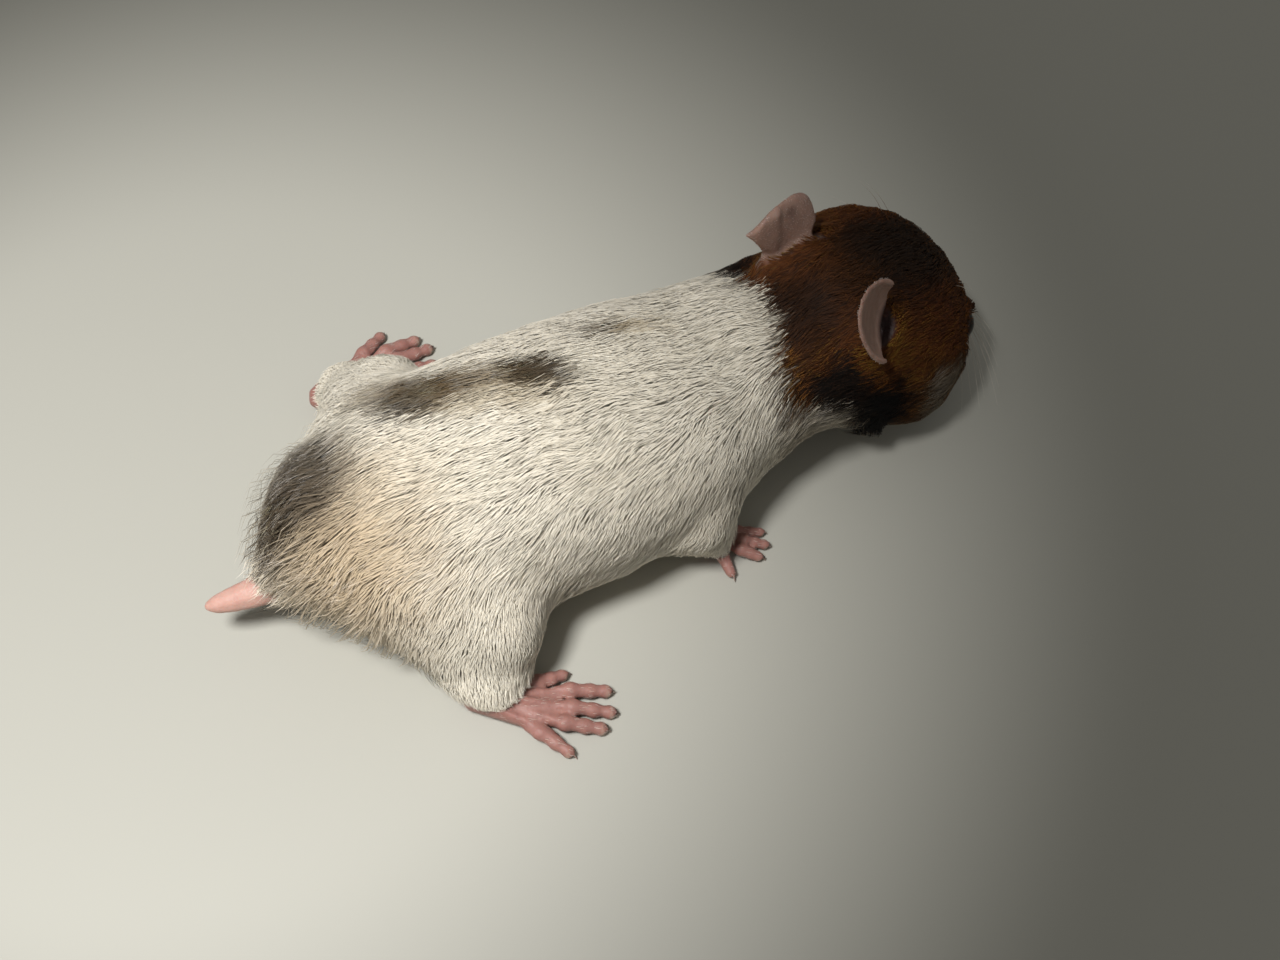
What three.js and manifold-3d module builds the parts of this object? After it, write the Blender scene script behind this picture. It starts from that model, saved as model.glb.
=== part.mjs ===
// A young Syrian hamster, about two weeks old, creeping forward with its legs spread:
// a still, life-size model. Millimetres, +X to the front, +Y to the animal's left, +Z up.
// The origin is on the floor, under the middle of the animal's own box.
//
// Each piece is a form lofted through a few stations. A station holds a point on the
// form's middle line and how far the coat reaches from it: to each side, above and below.
// Neighbouring pieces are parted by a thin cut, made with a copy grown by that gap.

import * as THREE from "three";
import { ConvexGeometry } from "three/addons/geometries/ConvexGeometry.js";
import { LoftGeometry } from "three/addons/geometries/LoftGeometry.js";
import { mergeVertices } from "three/addons/utils/BufferGeometryUtils.js";
import Module from "manifold-3d";

const wasm = await Module();
wasm.setup();

// ---------------------------------------------------------------- driving dimensions

const cut = 0.3; // width of the cut between two pieces
const floorLevel = 0;
const origin = { x: 8.6, y: 2.1 }; // the middle of the whole animal, in the trunk's own frame

const trunkSize = {
  rumpEnd: -21.7,
  neckEnd: 21.5,
  hips: 9.4,
  waist: 11.3,
  shoulders: 10,
  middleHeight: 9.6,
};
const neckSize = { side: 8.3, height: 7.2 };
const headSize = { length: 25.6, cheek: 10.1, brow: 8.4, muzzle: 4.2, height: 8.2 };

// The head looks a little to the left and down, and leans to its right. The angles are in degrees.
const headPose = { at: [31.6, 1.4, 10.8], heading: 16, nod: 24.5, tilt: 8.5 };
const eyeSize = { radius: 1.6, at: [7.3, 5.7, 1.9] };
const earSize = { back: 4.8, front: 1.5, across: 3.7, deep: 2.2, lean: 3.4, wall: 0.6 };
const tailSize = { from: [-19.8, 0.5, 6.2], to: [-26.9, 1.5, 5.2], base: 1.5, tip: 0.55 };
const hindFootSize = { heel: 3.0, palm: 4.2, halfWidth: 2.3, toe: 0.72 };
const foreFootSize = { heel: 1.2, palm: 1.8, halfWidth: 1.5, toe: 0.58 };
const clawSize = { length: 1.1, base: 0.3, tip: 0.13 };

// ---------------------------------------------------------------- materials

const finish = (color, roughness) => new THREE.MeshStandardMaterial({ color, roughness, metalness: 0 });
const coatWhite = finish(0xe9e2d2, 0.95);
const coatBrown = finish(0x6b4726, 0.95);
const bareSkin = finish(0xd79c90, 0.6);
const eyeBlack = finish(0x0b0a0c, 0.08);

// ---------------------------------------------------------------- forms

const point = ([x, y, z]) => new THREE.Vector3(x, y, z);

function station(at, side, above = side, below = above) {
  return { at: point(at), reach: point([side, above, below]) };
}

// How much of its full reach a form has at a distance from a rounded end.
const rounding = (distance, length) => Math.sqrt(1 - (1 - Math.min(1, distance / length)) ** 2);

// The sign-keeping power that turns a circle into a squarer section.
const squared = (value, power) => Math.sign(value) * Math.abs(value) ** power;

// A closed form through the stations. `up` is the way that `above` points, and `roundStart` and
// `roundEnd` are the lengths over which the two ends close. A section is round at fullness 2.
function form(stations, options = {}) {
  const { around = 20, along = 14, roundStart = 2, roundEnd = 2, up = [0, 0, 1] } = options;
  const { fullness = 2, fullnessBelow = fullness } = options;
  const path = new THREE.CatmullRomCurve3(stations.map((s) => s.at));
  const reach = new THREE.CatmullRomCurve3(stations.map((s) => s.reach));
  const start = path.getPoint(0);
  const end = path.getPoint(1);
  const leastShare = 0.16; // the ends stop at a small flat, closed by a cap
  const sections = [];
  for (let i = 0; i <= along; i++) {
    const share = (1 - Math.cos((Math.PI * i) / along)) / 2; // rings crowd where the ends turn in
    const middle = path.getPoint(share);
    const ahead = path.getTangent(share);
    const across = new THREE.Vector3().crossVectors(point(up), ahead).normalize();
    const lift = new THREE.Vector3().crossVectors(ahead, across);
    const { x: side, y: above, z: below } = reach.getPoint(share);
    const closing = Math.max(
      leastShare,
      Math.min(rounding(middle.distanceTo(start), roundStart), rounding(middle.distanceTo(end), roundEnd)),
    );
    const ring = [];
    for (let j = 0; j < around; j++) {
      const angle = (2 * Math.PI * j) / around;
      const isAbove = Math.sin(angle) > 0;
      const power = 2 / (isAbove ? fullness : fullnessBelow);
      const sideways = squared(Math.cos(angle), power) * side * closing;
      const upward = squared(Math.sin(angle), power) * (isAbove ? above : below) * closing;
      ring.push(middle.clone().addScaledVector(across, sideways).addScaledVector(lift, upward));
    }
    sections.push(ring);
  }
  return new LoftGeometry(sections, { capStart: true, capEnd: true });
}

// ---------------------------------------------------------------- solids

function welded(geometry) {
  const bare = new THREE.BufferGeometry().copy(geometry);
  bare.deleteAttribute("normal");
  bare.deleteAttribute("uv");
  return mergeVertices(bare, 1e-4);
}

function solid(geometry) {
  const { index, attributes } = welded(geometry);
  return new wasm.Manifold(
    new wasm.Mesh({
      numProp: 3,
      vertProperties: new Float32Array(attributes.position.array),
      triVerts: new Uint32Array(index.array),
    }),
  );
}

// The same form with its surface moved out by a distance.
function grown(geometry, distance = cut) {
  const made = welded(geometry);
  made.computeVertexNormals();
  const { position, normal } = made.attributes;
  for (let i = 0; i < position.count; i++) {
    const moved = new THREE.Vector3().fromBufferAttribute(position, i);
    moved.addScaledVector(new THREE.Vector3().fromBufferAttribute(normal, i), distance);
    position.setXYZ(i, moved.x, moved.y, moved.z);
  }
  return made;
}

const joined = (solids) => solids.reduce((whole, next) => whole.add(next));
const largest = (made) => made.decompose().sort((a, b) => b.volume() - a.volume())[0];

// What is left of a solid once its neighbours, grown by the cut, are taken away.
const parted = (made, ...neighbours) =>
  largest(neighbours.reduce((left, neighbour) => left.subtract(neighbour), made));

// Cuts a flat sole at floor level.
function onFloor(made) {
  const depth = 10;
  const ground = new THREE.BoxGeometry(200, 200, depth).translate(0, 0, floorLevel - depth / 2);
  return made.subtract(solid(ground));
}

function geometryOf(made) {
  const { numProp, vertProperties, triVerts } = made.getMesh();
  const shared = new THREE.InterleavedBuffer(vertProperties, numProp);
  const positions = new THREE.InterleavedBufferAttribute(shared, 3, 0);
  const geometry = new THREE.BufferGeometry().setAttribute("position", positions);
  geometry.setIndex(new THREE.BufferAttribute(triVerts, 1));
  return geometry.toNonIndexed();
}

// ---------------------------------------------------------------- trunk, neck and tail

// The spine swings a little to the left at both ends.
function trunkForm() {
  const { rumpEnd, neckEnd, hips, waist, shoulders, middleHeight: mid } = trunkSize;
  return form(
    [
      station([rumpEnd, 1.3, 6.9], 4.0, 4.2, 4.5),
      station([rumpEnd + 5.5, 1.3, 7.9], hips - 1.5, 6.9, 6.5),
      station([-8.5, 0.6, mid - 0.6], waist - 0.7, 8.4, 7.8),
      station([2, 0.0, mid - 0.1], waist + 0.1, 8.9, 8.5),
      station([11.5, 0.3, mid], shoulders + 0.9, 8.2, 8.1),
      station([neckEnd - 4, 0.9, mid + 0.2], shoulders - 0.8, 7.4, 7.3),
      station([neckEnd, 1.2, mid + 0.6], neckSize.side, neckSize.height, 6.6),
    ],
    { around: 20, along: 19, roundStart: 5.5, roundEnd: 1.2, fullness: 2.1, fullnessBelow: 2.8 },
  );
}

function neckForm() {
  const { side, height } = neckSize;
  return form(
    [
      station([18.5, 0.9, 9.9], side, height, height),
      station([22.5, 1.1, 10.4], side, height, height),
      station([30, 1.4, 10.6], side - 1.4, height - 1.0, height - 1.0),
    ],
    { around: 18, along: 7, roundStart: 3, roundEnd: 3 },
  );
}

function tailForm() {
  const { from, to, base, tip } = tailSize;
  const at = (share, fallen) => [
    from[0] + (to[0] - from[0]) * share,
    from[1] + (to[1] - from[1]) * share,
    from[2] + (to[2] - from[2]) * fallen,
  ];
  return form(
    [
      station(at(0, 0), base + 0.2),
      station(at(0.4, 0.7), base * 0.92),
      station(at(0.75, 1), (base + tip) / 2),
      station(at(1, 1), tip),
    ],
    { around: 9, along: 7, roundStart: 1, roundEnd: 1 },
  );
}

// ---------------------------------------------------------------- head

// The head's own frame: +X to the nose, +Y to its left, +Z out of the crown.
const headPlace = new THREE.Matrix4().compose(
  point(headPose.at),
  new THREE.Quaternion().setFromEuler(
    new THREE.Euler(
      THREE.MathUtils.degToRad(headPose.tilt),
      THREE.MathUtils.degToRad(headPose.nod),
      THREE.MathUtils.degToRad(headPose.heading),
      "ZYX",
    ),
  ),
  new THREE.Vector3(1, 1, 1),
);

function headForm() {
  const { length, cheek, brow, muzzle, height } = headSize;
  const back = -11;
  return form(
    [
      station([back, 0, -1.4], 5.2, 5.4, 4.4),
      station([back + 4, 0, -1.9], cheek - 2.8, height + 0.2, 5.2),
      station([back + 9, 0, -2.6], cheek - 1.1, height + 2.0, 5.5),
      station([back + 13.6, 0, -3.1], cheek + 0.4, height + 2.8, 5.0),
      station([back + 18.2, 0, -3.2], brow + 0.9, height + 1.8, 4.0),
      station([back + 22, 0, -2.7], muzzle + 1.6, 5.8, 3.1),
      station([back + length, 0, -2.4], muzzle - 0.4, 3.1, 2.4),
    ],
    { around: 22, along: 18, roundStart: 4.5, roundEnd: 3.2, fullness: 2.15 },
  ).applyMatrix4(headPlace);
}

// The pads that carry the whiskers, and the chin under them.
function muzzleForms() {
  const ball = (at, stretch, radius) =>
    new THREE.SphereGeometry(radius, 8, 6).scale(...stretch).translate(...at).applyMatrix4(headPlace);
  const front = headSize.length - 11;
  return [
    ball([front - 3.2, 2.1, -2.8], [1.15, 1, 0.9], 2.5),
    ball([front - 3.2, -2.1, -2.8], [1.15, 1, 0.9], 2.5),
    ball([front - 5.2, 0, -4.7], [1.2, 1.15, 0.8], 2.3),
  ];
}

function noseForm() {
  const tip = headSize.length - 11;
  return form(
    [
      station([tip - 1.4, 0, -1.6], 0.9, 0.8),
      station([tip - 0.2, 0, -1.8], 1.15, 0.85),
      station([tip + 0.4, 0, -2.1], 0.85, 0.6),
    ],
    { around: 10, along: 6, roundStart: 0.6, roundEnd: 0.7 },
  ).applyMatrix4(headPlace);
}

const eyeForm = (side, extra = 0) =>
  new THREE.SphereGeometry(eyeSize.radius + extra, 12, 8)
    .translate(eyeSize.at[0], side * eyeSize.at[1], eyeSize.at[2])
    .applyMatrix4(headPlace);

// An ear is a cup of thin skin, low in front and tall at the back, where it leans away from the
// opening. In its own frame +Z rises from the root and +X points out of the opening. `pinch` closes
// the cup and `taper` narrows its tip.
function earForm({ pinch, taper }) {
  const { back, front, across, deep, lean, wall } = earSize;
  const around = 16;
  const rows = 5;
  const ring = (rise, inset) => {
    const points = [];
    for (let j = 0; j < around; j++) {
      const angle = (2 * Math.PI * j) / around;
      const tallness = ((1 - Math.cos(angle)) / 2) ** 0.8;
      const height = front + (back - front) * tallness;
      const flare = 0.4 + 0.6 * Math.sin((Math.PI / 2) * Math.min(1, rise * 1.2));
      const narrow = 1 - taper * rise ** 2 * tallness;
      const leaning = lean * rise ** 1.5 * tallness;
      const x = Math.cos(angle) * (deep * flare * (1 - pinch * rise) - inset) - leaning;
      const y = Math.sin(angle) * (across * flare * narrow - inset);
      points.push(new THREE.Vector3(x, y, height * rise));
    }
    return points;
  };
  const floor = 0.25; // the cup's inner floor, as a share of its height
  const outside = Array.from({ length: rows }, (_, i) => ring(i / (rows - 1), 0));
  const inside = Array.from({ length: rows }, (_, i) => ring(1 - (1 - floor) * (i / (rows - 1)), wall));
  const last = inside.at(-1);
  const middle = last.reduce((sum, p) => sum.add(p), new THREE.Vector3()).divideScalar(around);
  const bed = last.map((p) => p.clone().lerp(middle, 0.8).setZ(middle.z + 0.2)); // raised in its middle
  return new LoftGeometry([...outside, ...inside, bed], { capStart: true, capEnd: true });
}

// Where an ear's root sits on the head, and the ways that its tip and its opening point.
function earPlace({ root, rise, opening }) {
  const up = point(rise).normalize();
  const front = point(opening);
  front.addScaledVector(up, -front.dot(up)).normalize();
  const across = new THREE.Vector3().crossVectors(up, front);
  return new THREE.Matrix4().makeBasis(front, across, up).setPosition(point(root)).premultiply(headPlace);
}

const ears = {
  right: {
    root: [-5.7, -5.0, 5.1],
    rise: [-0.35, -0.55, 0.75],
    opening: [0.85, -0.5, 0.05],
    pinch: 0.1,
    taper: 0.15,
  },
  left: {
    root: [-4.0, 5.4, 5.1],
    rise: [-0.6, 0.79, 0],
    opening: [0.74, 0.56, -0.33],
    pinch: 0.3,
    taper: 0.5,
  },
};

const earSolid = (side) => solid(earForm(ears[side]).applyMatrix4(earPlace(ears[side])));

// ---------------------------------------------------------------- legs and feet

const sideOf = { left: 1, right: -1 };

// Where a leg's joints are, where its foot's ankle stands, and the way that the toes point.
const hindLegs = {
  right: {
    hip: [-10.8, -5.4, 8],
    knee: [-6.8, -10.5, 5.9],
    ankle: [-8.9, -13.5, 2.6],
    foot: [-8.6, -14.3],
    heading: -33,
  },
  left: {
    hip: [-9, 7.6, 8],
    knee: [-6.4, 13.4, 6],
    ankle: [-8.9, 19.0, 2.6],
    foot: [-9.2, 20.0],
    heading: 10,
  },
};

const foreLegs = {
  right: {
    shoulder: [13, -5.5, 8.4],
    elbow: [12, -8.6, 5.4],
    wrist: [13.2, -8.9, 2.6],
    foot: [13.5, -8.6],
    heading: -30,
  },
  left: {
    shoulder: [15, 6, 8.4],
    elbow: [15.2, 9.2, 5.6],
    wrist: [17, 10.4, 2.6],
    foot: [16.8, 10.2],
    heading: 14,
  },
};

// A leg fills the space between balls at its joints, each [centre, radius].
function legForm(balls) {
  const surface = balls.flatMap(([centre, radius]) => {
    const { position } = new THREE.SphereGeometry(radius, 12, 8).translate(...centre).attributes;
    const vertex = (_, i) => new THREE.Vector3().fromBufferAttribute(position, i);
    return Array.from({ length: position.count }, vertex);
  });
  return new ConvexGeometry(surface);
}

const hindLegForm = ({ hip, knee, ankle }) => legForm([[hip, 5.8], [knee, 4.2], [ankle, 2.0]]);
const foreLegForm = ({ shoulder, elbow, wrist }) => legForm([[shoulder, 4.2], [elbow, 3.0], [wrist, 1.5]]);

// A toe arches from its knuckle down to a pad, and carries a claw. `reach` is how far its tip lies
// ahead of the ankle and `spread` how far to the outside; `root` and `rootSpread` say the same of its root.
function toeForms({ root, rootSpread, reach, spread, thick, side }) {
  const at = (share, z) =>
    [root + (reach - root) * share, side * (rootSpread + (spread - rootSpread) * share), z];
  const ahead = Math.hypot(reach - root, spread - rootSpread);
  const toe = form(
    [
      station(at(-0.1, 1.0), thick, thick),
      station(at(0.35, 1.15), thick * 1.02, thick),
      station(at(0.75, 0.75), thick * 0.92, thick * 0.85),
      station(at(1, 0.55), thick * 0.85, thick * 0.8),
    ],
    { around: 7, along: 5, roundStart: 0.5, roundEnd: thick },
  );
  const clawShare = clawSize.length / ahead;
  const claw = form(
    [
      station(at(1 - 0.35 * clawShare, 0.8), clawSize.base),
      station(at(1 + 0.35 * clawShare, 0.72), (clawSize.base + clawSize.tip) / 2),
      station(at(1 + clawShare * 0.75, 0.4), clawSize.tip),
    ],
    { around: 4, along: 2, roundStart: 0.1, roundEnd: 0.1 },
  );
  return [solid(toe), solid(claw)];
}

// Puts a foot, made with its ankle over the origin and its toes to +X, at the end of a leg.
function placed(made, [x, y], heading) {
  return onFloor(made.rotate([0, 0, heading]).translate([x, y, 0]));
}

function hindFoot(sideName) {
  const { foot, heading } = hindLegs[sideName];
  const { heel, palm, halfWidth, toe: thick } = hindFootSize;
  const side = sideOf[sideName];
  const sole = form(
    [
      station([-heel, 0, 1.3], 1.3, 1.2, 1.4),
      station([0, 0, 1.6], 1.5, 1.4, 1.7),
      station([palm * 0.6, 0, 1.3], halfWidth * 0.92, 1.1, 1.5),
      station([palm + 0.7, 0.1, 1.0], halfWidth, 0.8, 1.2),
    ],
    { around: 12, along: 6, roundStart: 1.5, roundEnd: 1.2, fullness: 2.3 },
  );
  const toes = [
    { root: 1.9, rootSpread: -1.5, reach: 4.8, spread: -3.2, thick: thick * 0.9 },
    { root: palm, rootSpread: -1.4, reach: 8.5, spread: -2.2, thick },
    { root: palm + 0.3, rootSpread: -0.1, reach: 9.1, spread: -0.4, thick },
    { root: palm, rootSpread: 1.2, reach: 8.6, spread: 1.1, thick },
    { root: 2.6, rootSpread: 1.6, reach: 6.3, spread: 3.4, thick: thick * 0.95 },
  ].flatMap((toe) => toeForms({ ...toe, side }));
  return placed(joined([solid(sole), ...toes]), foot, heading);
}

function foreFoot(sideName) {
  const { foot, heading } = foreLegs[sideName];
  const { heel, palm, halfWidth, toe: thick } = foreFootSize;
  const side = sideOf[sideName];
  const sole = form(
    [
      station([-heel, 0, 1.5], 1.0, 1.0, 1.6),
      station([0.3, 0, 1.4], 1.25, 1.1, 1.5),
      station([palm, 0, 1.0], halfWidth, 0.8, 1.2),
    ],
    { around: 10, along: 5, roundStart: 1, roundEnd: 1, fullness: 2.2 },
  );
  const toes = [
    { root: 1.2, rootSpread: -0.9, reach: 4.1, spread: -1.5, thick: thick * 0.95 },
    { root: palm, rootSpread: -0.3, reach: 4.5, spread: -0.3, thick },
    { root: palm, rootSpread: 0.5, reach: 4.0, spread: 0.9, thick },
    { root: 0.7, rootSpread: 1.0, reach: 1.8, spread: 2.7, thick: thick * 0.95 },
  ].flatMap((toe) => toeForms({ ...toe, side }));
  return placed(joined([solid(sole), ...toes]), foot, heading);
}

// ---------------------------------------------------------------- the whole animal

const animal = new THREE.Group();

function add(name, made, material) {
  const mesh = new THREE.Mesh(geometryOf(made), material);
  mesh.name = name;
  animal.add(mesh);
}

const trunk = trunkForm();
const head = headForm();
const trunkGrown = solid(grown(trunk));
const headGrown = solid(grown(head));
const neck = neckForm();
const neckGrown = solid(grown(neck));
const nose = noseForm();

add("trunk", parted(onFloor(solid(trunk)), headGrown), coatWhite);
add("neck", parted(solid(neck), trunkGrown, headGrown), coatBrown);
add("tail", parted(solid(tailForm()), trunkGrown), bareSkin);

const sockets = [1, -1].map((side) => solid(eyeForm(side, cut)));
const skull = onFloor(joined([head, ...muzzleForms()].map(solid)));
add("head", parted(skull, ...sockets, solid(grown(nose))), coatBrown);
add("nose", solid(nose), bareSkin);
add("eye_left", solid(eyeForm(1)), eyeBlack);
add("eye_right", solid(eyeForm(-1)), eyeBlack);

for (const side of ["left", "right"]) {
  add("ear_" + side, parted(earSolid(side), headGrown, neckGrown), bareSkin);
  const foot = hindFoot(side);
  const footGrown = solid(grown(geometryOf(foot)));
  const thigh = onFloor(solid(hindLegForm(hindLegs[side])));
  add("hindleg_" + side, parted(thigh, trunkGrown, footGrown), coatWhite);
  add("hindfoot_" + side, foot, bareSkin);
  const hand = foreFoot(side);
  const handGrown = solid(grown(geometryOf(hand)));
  const arm = onFloor(solid(foreLegForm(foreLegs[side])));
  add("foreleg_" + side, parted(arm, trunkGrown, neckGrown, handGrown), coatWhite);
  add("forefoot_" + side, hand, bareSkin);
}

animal.position.set(-origin.x, -origin.y, 0);

export default animal;
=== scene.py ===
# A young Syrian hamster, creeping over a pale floor: its skin, coat, eyes, claws and whiskers.
import math

import bpy
import numpy as np
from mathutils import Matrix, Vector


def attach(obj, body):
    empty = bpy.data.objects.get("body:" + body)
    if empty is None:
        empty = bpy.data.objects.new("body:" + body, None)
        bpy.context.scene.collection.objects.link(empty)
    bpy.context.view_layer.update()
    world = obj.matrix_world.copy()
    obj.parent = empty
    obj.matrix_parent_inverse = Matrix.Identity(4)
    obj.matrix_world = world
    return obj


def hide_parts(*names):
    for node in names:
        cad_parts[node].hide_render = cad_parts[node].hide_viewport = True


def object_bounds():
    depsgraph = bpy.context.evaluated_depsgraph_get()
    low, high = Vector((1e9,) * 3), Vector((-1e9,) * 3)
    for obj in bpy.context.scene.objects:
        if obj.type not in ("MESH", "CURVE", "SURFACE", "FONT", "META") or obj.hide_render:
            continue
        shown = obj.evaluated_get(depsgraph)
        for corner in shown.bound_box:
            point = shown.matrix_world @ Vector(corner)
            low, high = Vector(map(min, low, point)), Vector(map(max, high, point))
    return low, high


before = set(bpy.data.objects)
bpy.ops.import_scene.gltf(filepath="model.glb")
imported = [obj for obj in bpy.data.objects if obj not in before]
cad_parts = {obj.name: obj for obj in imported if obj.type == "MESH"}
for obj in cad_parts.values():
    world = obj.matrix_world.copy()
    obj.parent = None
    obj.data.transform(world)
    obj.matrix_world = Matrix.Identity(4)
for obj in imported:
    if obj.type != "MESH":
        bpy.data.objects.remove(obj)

import openvdb
from mathutils import Euler, Matrix, Vector

mm = 0.001
cadLow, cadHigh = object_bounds()


def printStage(text):
    print("stage:", text)


# camera

view = {
    "target": (0.2, -6.56, 8.0),  # mm
    "azimuth": -26,
    "elevation": 57,
    "distance": 135,
    "lens": 46.7,
    "sensor": 36,
}


def makeCamera():
    turn, rise = math.radians(view["azimuth"]), math.radians(view["elevation"])
    back = Vector((math.sin(turn) * math.cos(rise), -math.cos(turn) * math.cos(rise), math.sin(rise)))
    data = bpy.data.cameras.new("camera")
    data.lens = view["lens"]
    data.sensor_width = view["sensor"]
    data.clip_start = 0.005
    data.clip_end = 5
    camera = bpy.data.objects.new("camera", data)
    camera.location = (Vector(view["target"]) + back * view["distance"]) * mm
    camera.rotation_mode = "QUATERNION"
    camera.rotation_quaternion = (-back).to_track_quat("-Z", "Y")
    bpy.context.scene.collection.objects.link(camera)
    bpy.context.scene.camera = camera


makeCamera()
printStage("camera")


# the body's form: a field of signed distances on a grid, in mm

field = {
    "voxel": 0.18,
    "margin": 2.5,  # air kept round the body
    "band": 3.0,  # how far from a surface the distances are true
    "blend": 2.4,  # rounding where two large parts meet
    "fineBlend": 1.0,  # the same for ears, nose, feet and tail
}
largeParts = ["trunk", "neck", "head", "hindleg_left", "hindleg_right", "foreleg_left", "foreleg_right"]
earParts = ["ear_left", "ear_right"]
feet = ["hindfoot_left", "hindfoot_right", "forefoot_left", "forefoot_right"]
fineParts = ["nose", "tail"] + earParts + feet
fleshParts = largeParts + fineParts

voxel = field["voxel"]
gridLow = np.floor((np.array(cadLow) / mm - field["margin"]) / voxel).astype(int)
gridHigh = np.ceil((np.array(cadHigh) / mm + field["margin"]) / voxel).astype(int)
gridShape = tuple(int(n) for n in gridHigh - gridLow)


def meshArrays(mesh):
    points = np.empty(len(mesh.vertices) * 3, np.float32)
    mesh.vertices.foreach_get("co", points)
    mesh.calc_loop_triangles()
    corners = np.empty(len(mesh.loop_triangles) * 3, np.int32)
    mesh.loop_triangles.foreach_get("vertices", corners)
    return points.reshape(-1, 3), corners.reshape(-1, 3)


def distancesTo(points, triangles, quads, low, shape):
    transform = openvdb.createLinearTransform(voxelSize=voxel)
    grid = openvdb.FloatGrid.createLevelSetFromPolygons(
        points.astype(np.float32),
        triangles.astype(np.uint32),
        quads.astype(np.uint32),
        transform,
        field["band"] / voxel,
    )
    values = np.empty(shape, np.float32)
    grid.copyToArray(values, ijk=tuple(int(i) for i in low))
    return values


noQuads = np.empty((0, 4), np.uint32)


def partDistances(name):
    points, triangles = meshArrays(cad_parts[name].data)
    points = points / mm
    low = np.floor((points.min(0) - field["band"]) / voxel).astype(int)
    high = np.ceil((points.max(0) + field["band"]) / voxel).astype(int)
    low, high = np.maximum(low, gridLow), np.minimum(high, gridHigh)
    return low, distancesTo(points, triangles, noQuads, low, tuple(int(n) for n in high - low))


# Reads a grid at points in mm, between its samples.
def sampled(values, low, points, outside):
    place = points / voxel - low
    base = np.clip(np.floor(place).astype(int), 0, np.array(values.shape) - 2)
    share = np.clip(place - base, 0, 1)
    result = np.zeros(len(points))
    for corner in np.ndindex(2, 2, 2):
        weight = np.prod(np.where(corner, share, 1 - share), axis=1)
        result += weight * values[tuple((base + corner).T)]
    beyond = ((place < 0) | (place > np.array(values.shape) - 1)).any(axis=1)
    return np.where(beyond, outside, result)


def blendIn(whole, low, values, reach):
    box = tuple(slice(int(a), int(a + n)) for a, n in zip(low - gridLow, values.shape))
    other = whole[box]
    near = np.clip(reach - np.abs(other - values), 0, None) / reach
    near[(other >= field["band"] * 0.99) | (values >= field["band"] * 0.99)] = 0
    whole[box] = np.minimum(other, values) - near**2 * reach / 4


# Averages the field with its neighbours a few samples away, along each axis in turn.
def softened(values, step):
    for axis in range(3):
        inner = [slice(None)] * 3
        ahead, behind = list(inner), list(inner)
        inner[axis], ahead[axis], behind[axis] = slice(step, -step), slice(2 * step, None), slice(-2 * step)
        mixed = values.copy()
        mixed[tuple(inner)] = (2 * values[tuple(inner)] + values[tuple(ahead)] + values[tuple(behind)]) / 4
        values = mixed
    return values


def easing(value, low, high):
    share = np.clip((value - low) / (high - low), 0, 1)
    return share * share * (3 - 2 * share)


# the head's own frame: x to the nose, y to its left, z out of the crown
headPlace = Matrix.Translation((23.0, -0.7, 10.8)) @ Euler(
    [math.radians(a) for a in (8.5, 24.5, 16)], "XYZ"
).to_matrix().to_4x4()
headTurn = np.array(headPlace.to_3x3())
headAt = np.array(headPlace.translation)


def inHead(points):
    return (points - headAt) @ headTurn


def fromHead(points):
    return np.atleast_2d(points) @ headTurn.T + headAt


# each ear's cup: where its root sits in the head's frame, and the ways that its tip and opening point
earCups = {
    "ear_right": {"root": (-5.7, -5.0, 5.1), "rise": (-0.35, -0.55, 0.75), "opening": (0.85, -0.5, 0.05)},
    "ear_left": {"root": (-4.0, 5.4, 5.1), "rise": (-0.6, 0.79, 0), "opening": (0.74, 0.56, -0.33)},
}
earShape = {
    "frontCut": (0.2, 0.9),  # the low front wall is open above this: ahead and up, in the cup's frame
    "canal": {"ear_right": (0.95, 0, -0.3), "ear_left": (0.35, 0, -0.3)},  # the hollow's middle
    # how far each hollow reaches: it is cut this far into the skin, kept bare, and painted dark with shade
    # over this reach
    "canalReach": {"ear_right": (1.45, 1.7, 2.3), "ear_left": (0.5, 0.8, 1.3)},
}


# Places in the cup's own frame: ahead out of the opening, across, and up to the tip.
def inEar(name, places):
    cup = earCups[name]
    up = np.array(cup["rise"]) / np.linalg.norm(cup["rise"])
    ahead = np.array(cup["opening"]) - up * (up @ np.array(cup["opening"]))
    ahead /= np.linalg.norm(ahead)
    return (inHead(places) - cup["root"]) @ np.stack([ahead, np.cross(up, ahead), up], axis=1)


def openCup(name, low, values):
    steps = np.indices(values.shape).reshape(3, -1).T
    local = inEar(name, (steps + low) * voxel)
    ahead, up = earShape["frontCut"]
    wedge = (local[:, 0] - ahead) * 0.95 + (local[:, 2] - up) * 0.3
    near = np.clip(0.8 - np.abs(wedge - values.ravel()), 0, None) / 0.8
    return low, (np.maximum(values.ravel(), wedge) + near**2 * 0.2).reshape(values.shape).astype(np.float32)


# the left ear is creased, so its edge ends in a point behind and a dimple shows near its top, cut in shallowly
# and darkened with painted shade
crease = {
    "point": [(14.0, 3.1, 20.9), (17.2, 3.0, 22.3), (16.8, 2.8, 18.3)],  # the corners of the pointed flap
    "thick": 0.25,  # half
    "dimple": (18.75, 2.6, 21.57),
    "dimpleRadius": 0.72,
}


def addPoint(low, values):
    corners = np.array(crease["point"])
    steps = np.indices(values.shape).reshape(3, -1).T
    places = (steps + low) * voxel
    normal = np.cross(corners[1] - corners[0], corners[2] - corners[0])
    normal /= np.linalg.norm(normal)
    flap = np.abs((places - corners[0]) @ normal) - crease["thick"]
    for one, two in zip(corners, np.roll(corners, -1, axis=0)):
        out = np.cross(two - one, normal)
        flap = np.maximum(flap, (places - one) @ out / np.linalg.norm(out))
    near = np.clip(0.7 - np.abs(flap - values.ravel()), 0, None) / 0.7
    return low, (np.minimum(values.ravel(), flap) - near**2 * 0.17).reshape(values.shape).astype(np.float32)


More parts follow.
